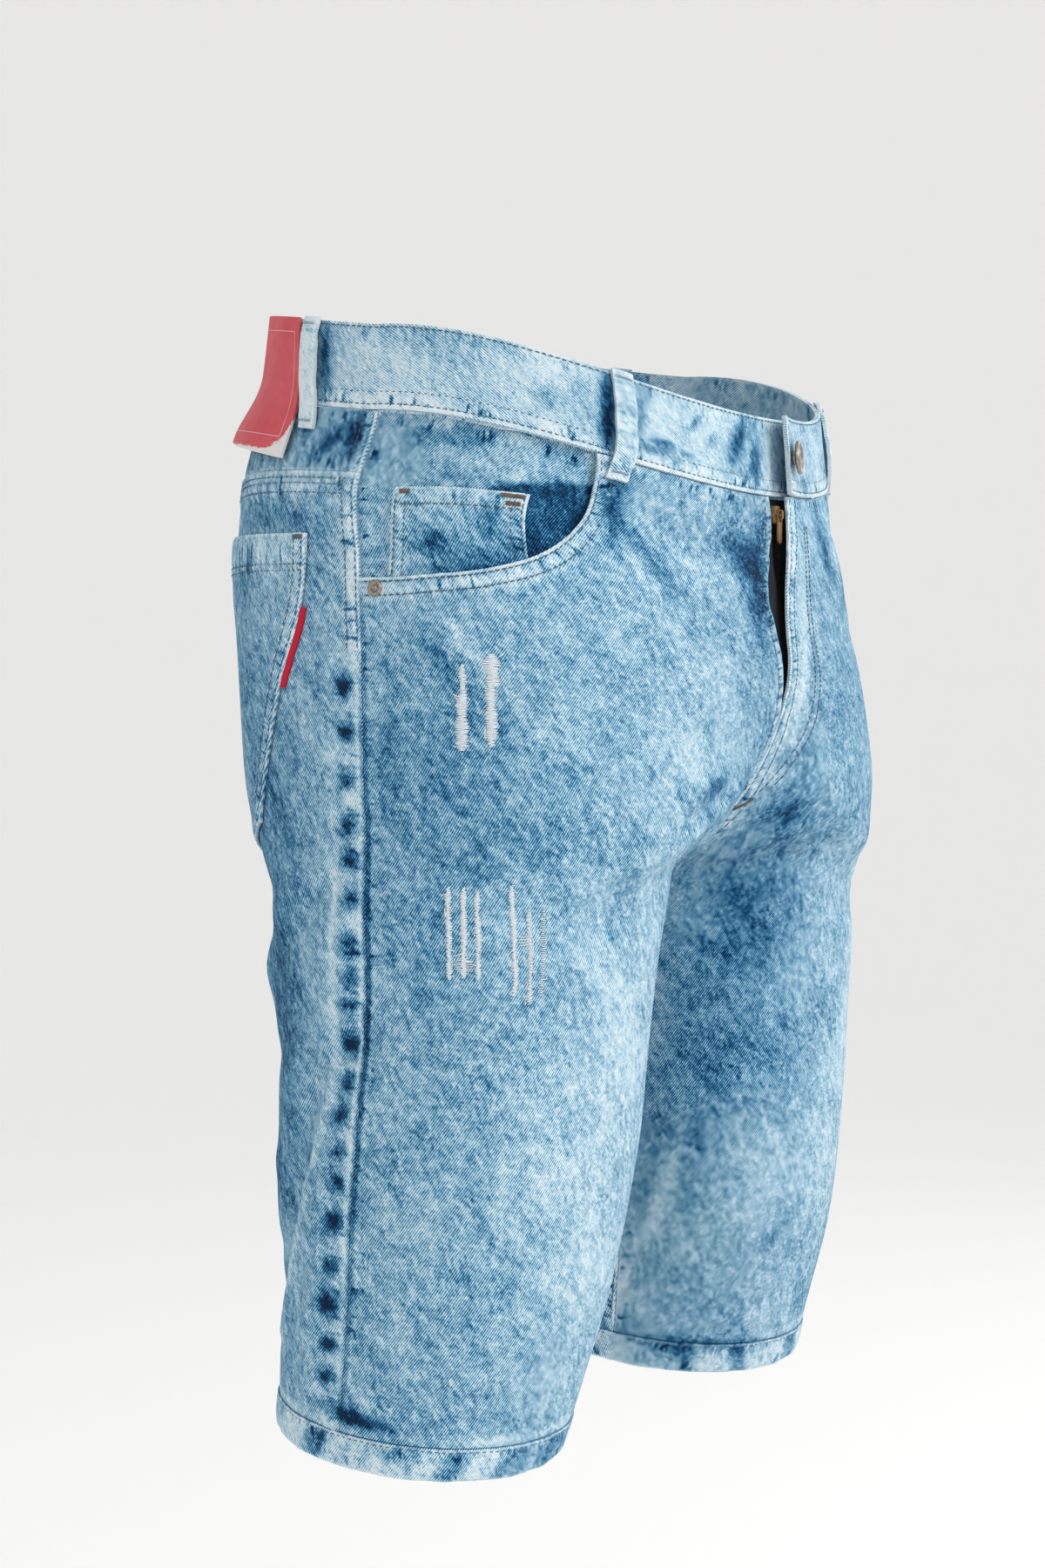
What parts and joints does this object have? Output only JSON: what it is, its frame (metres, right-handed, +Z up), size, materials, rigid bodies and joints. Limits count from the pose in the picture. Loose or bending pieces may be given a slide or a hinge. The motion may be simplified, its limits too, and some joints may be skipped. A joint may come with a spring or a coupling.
{
  "type": "denim shorts",
  "caption": "Knee-length denim shorts in their worn shape: hollow body and two open legs, waistband with belt loops, curved front pockets, patch back pockets and a zip fly",
  "frame": {"origin": "centre of the waist opening, level with the waistband's top edge at the side seams", "axes": "+Z up, -Y out of the garment's front, +X to the wearer's left"},
  "size_m": [0.404, 0.3038, 0.5886],
  "materials": {
    "denim": "acid-washed cotton twill, pale sky blue mottled with mid blue",
    "dark_denim": "unbleached indigo cotton twill",
    "patch": "worn red leatherboard",
    "binding": "plain woven red tape",
    "zip_tape": "dark woven zip tape",
    "zip_metal": "dull brass",
    "pewter": "antique silver, brushed"
  },
  "bodies": {
    "garment": {"front_right": "denim", "front_left": "denim", "back_right": "denim", "back_left": "denim", "yoke_right": "denim", "yoke_left": "denim", "waistband": "denim", "hem_right": "denim", "hem_left": "denim", "pocket_facing_right": "dark_denim", "pocket_facing_left": "dark_denim", "coin_pocket": "denim", "back_pocket_right": "denim", "back_pocket_left": "denim", "belt_loop_front_right": "denim", "belt_loop_front_left": "denim", "belt_loop_back_right": "denim", "belt_loop_back_left": "denim", "belt_loop_centre": "denim", "patch": "patch", "pocket_edge_strip": "binding", "fly_shield": "dark_denim", "zip_tape": "zip_tape", "zip_slider": "zip_metal", "button": "pewter", "rivet_right": "pewter", "rivet_left": "pewter"},
    "pull": {"zip_pull": "zip_metal"}
  },
  "joints": [
    {"name": "pull_swing", "type": "hinge", "parent": "garment", "child": "pull", "pos_m": [-0.01016, -0.14349, -0.09036], "axis": [-1, 0, 0], "range_deg": [0, 140]}
  ]
}
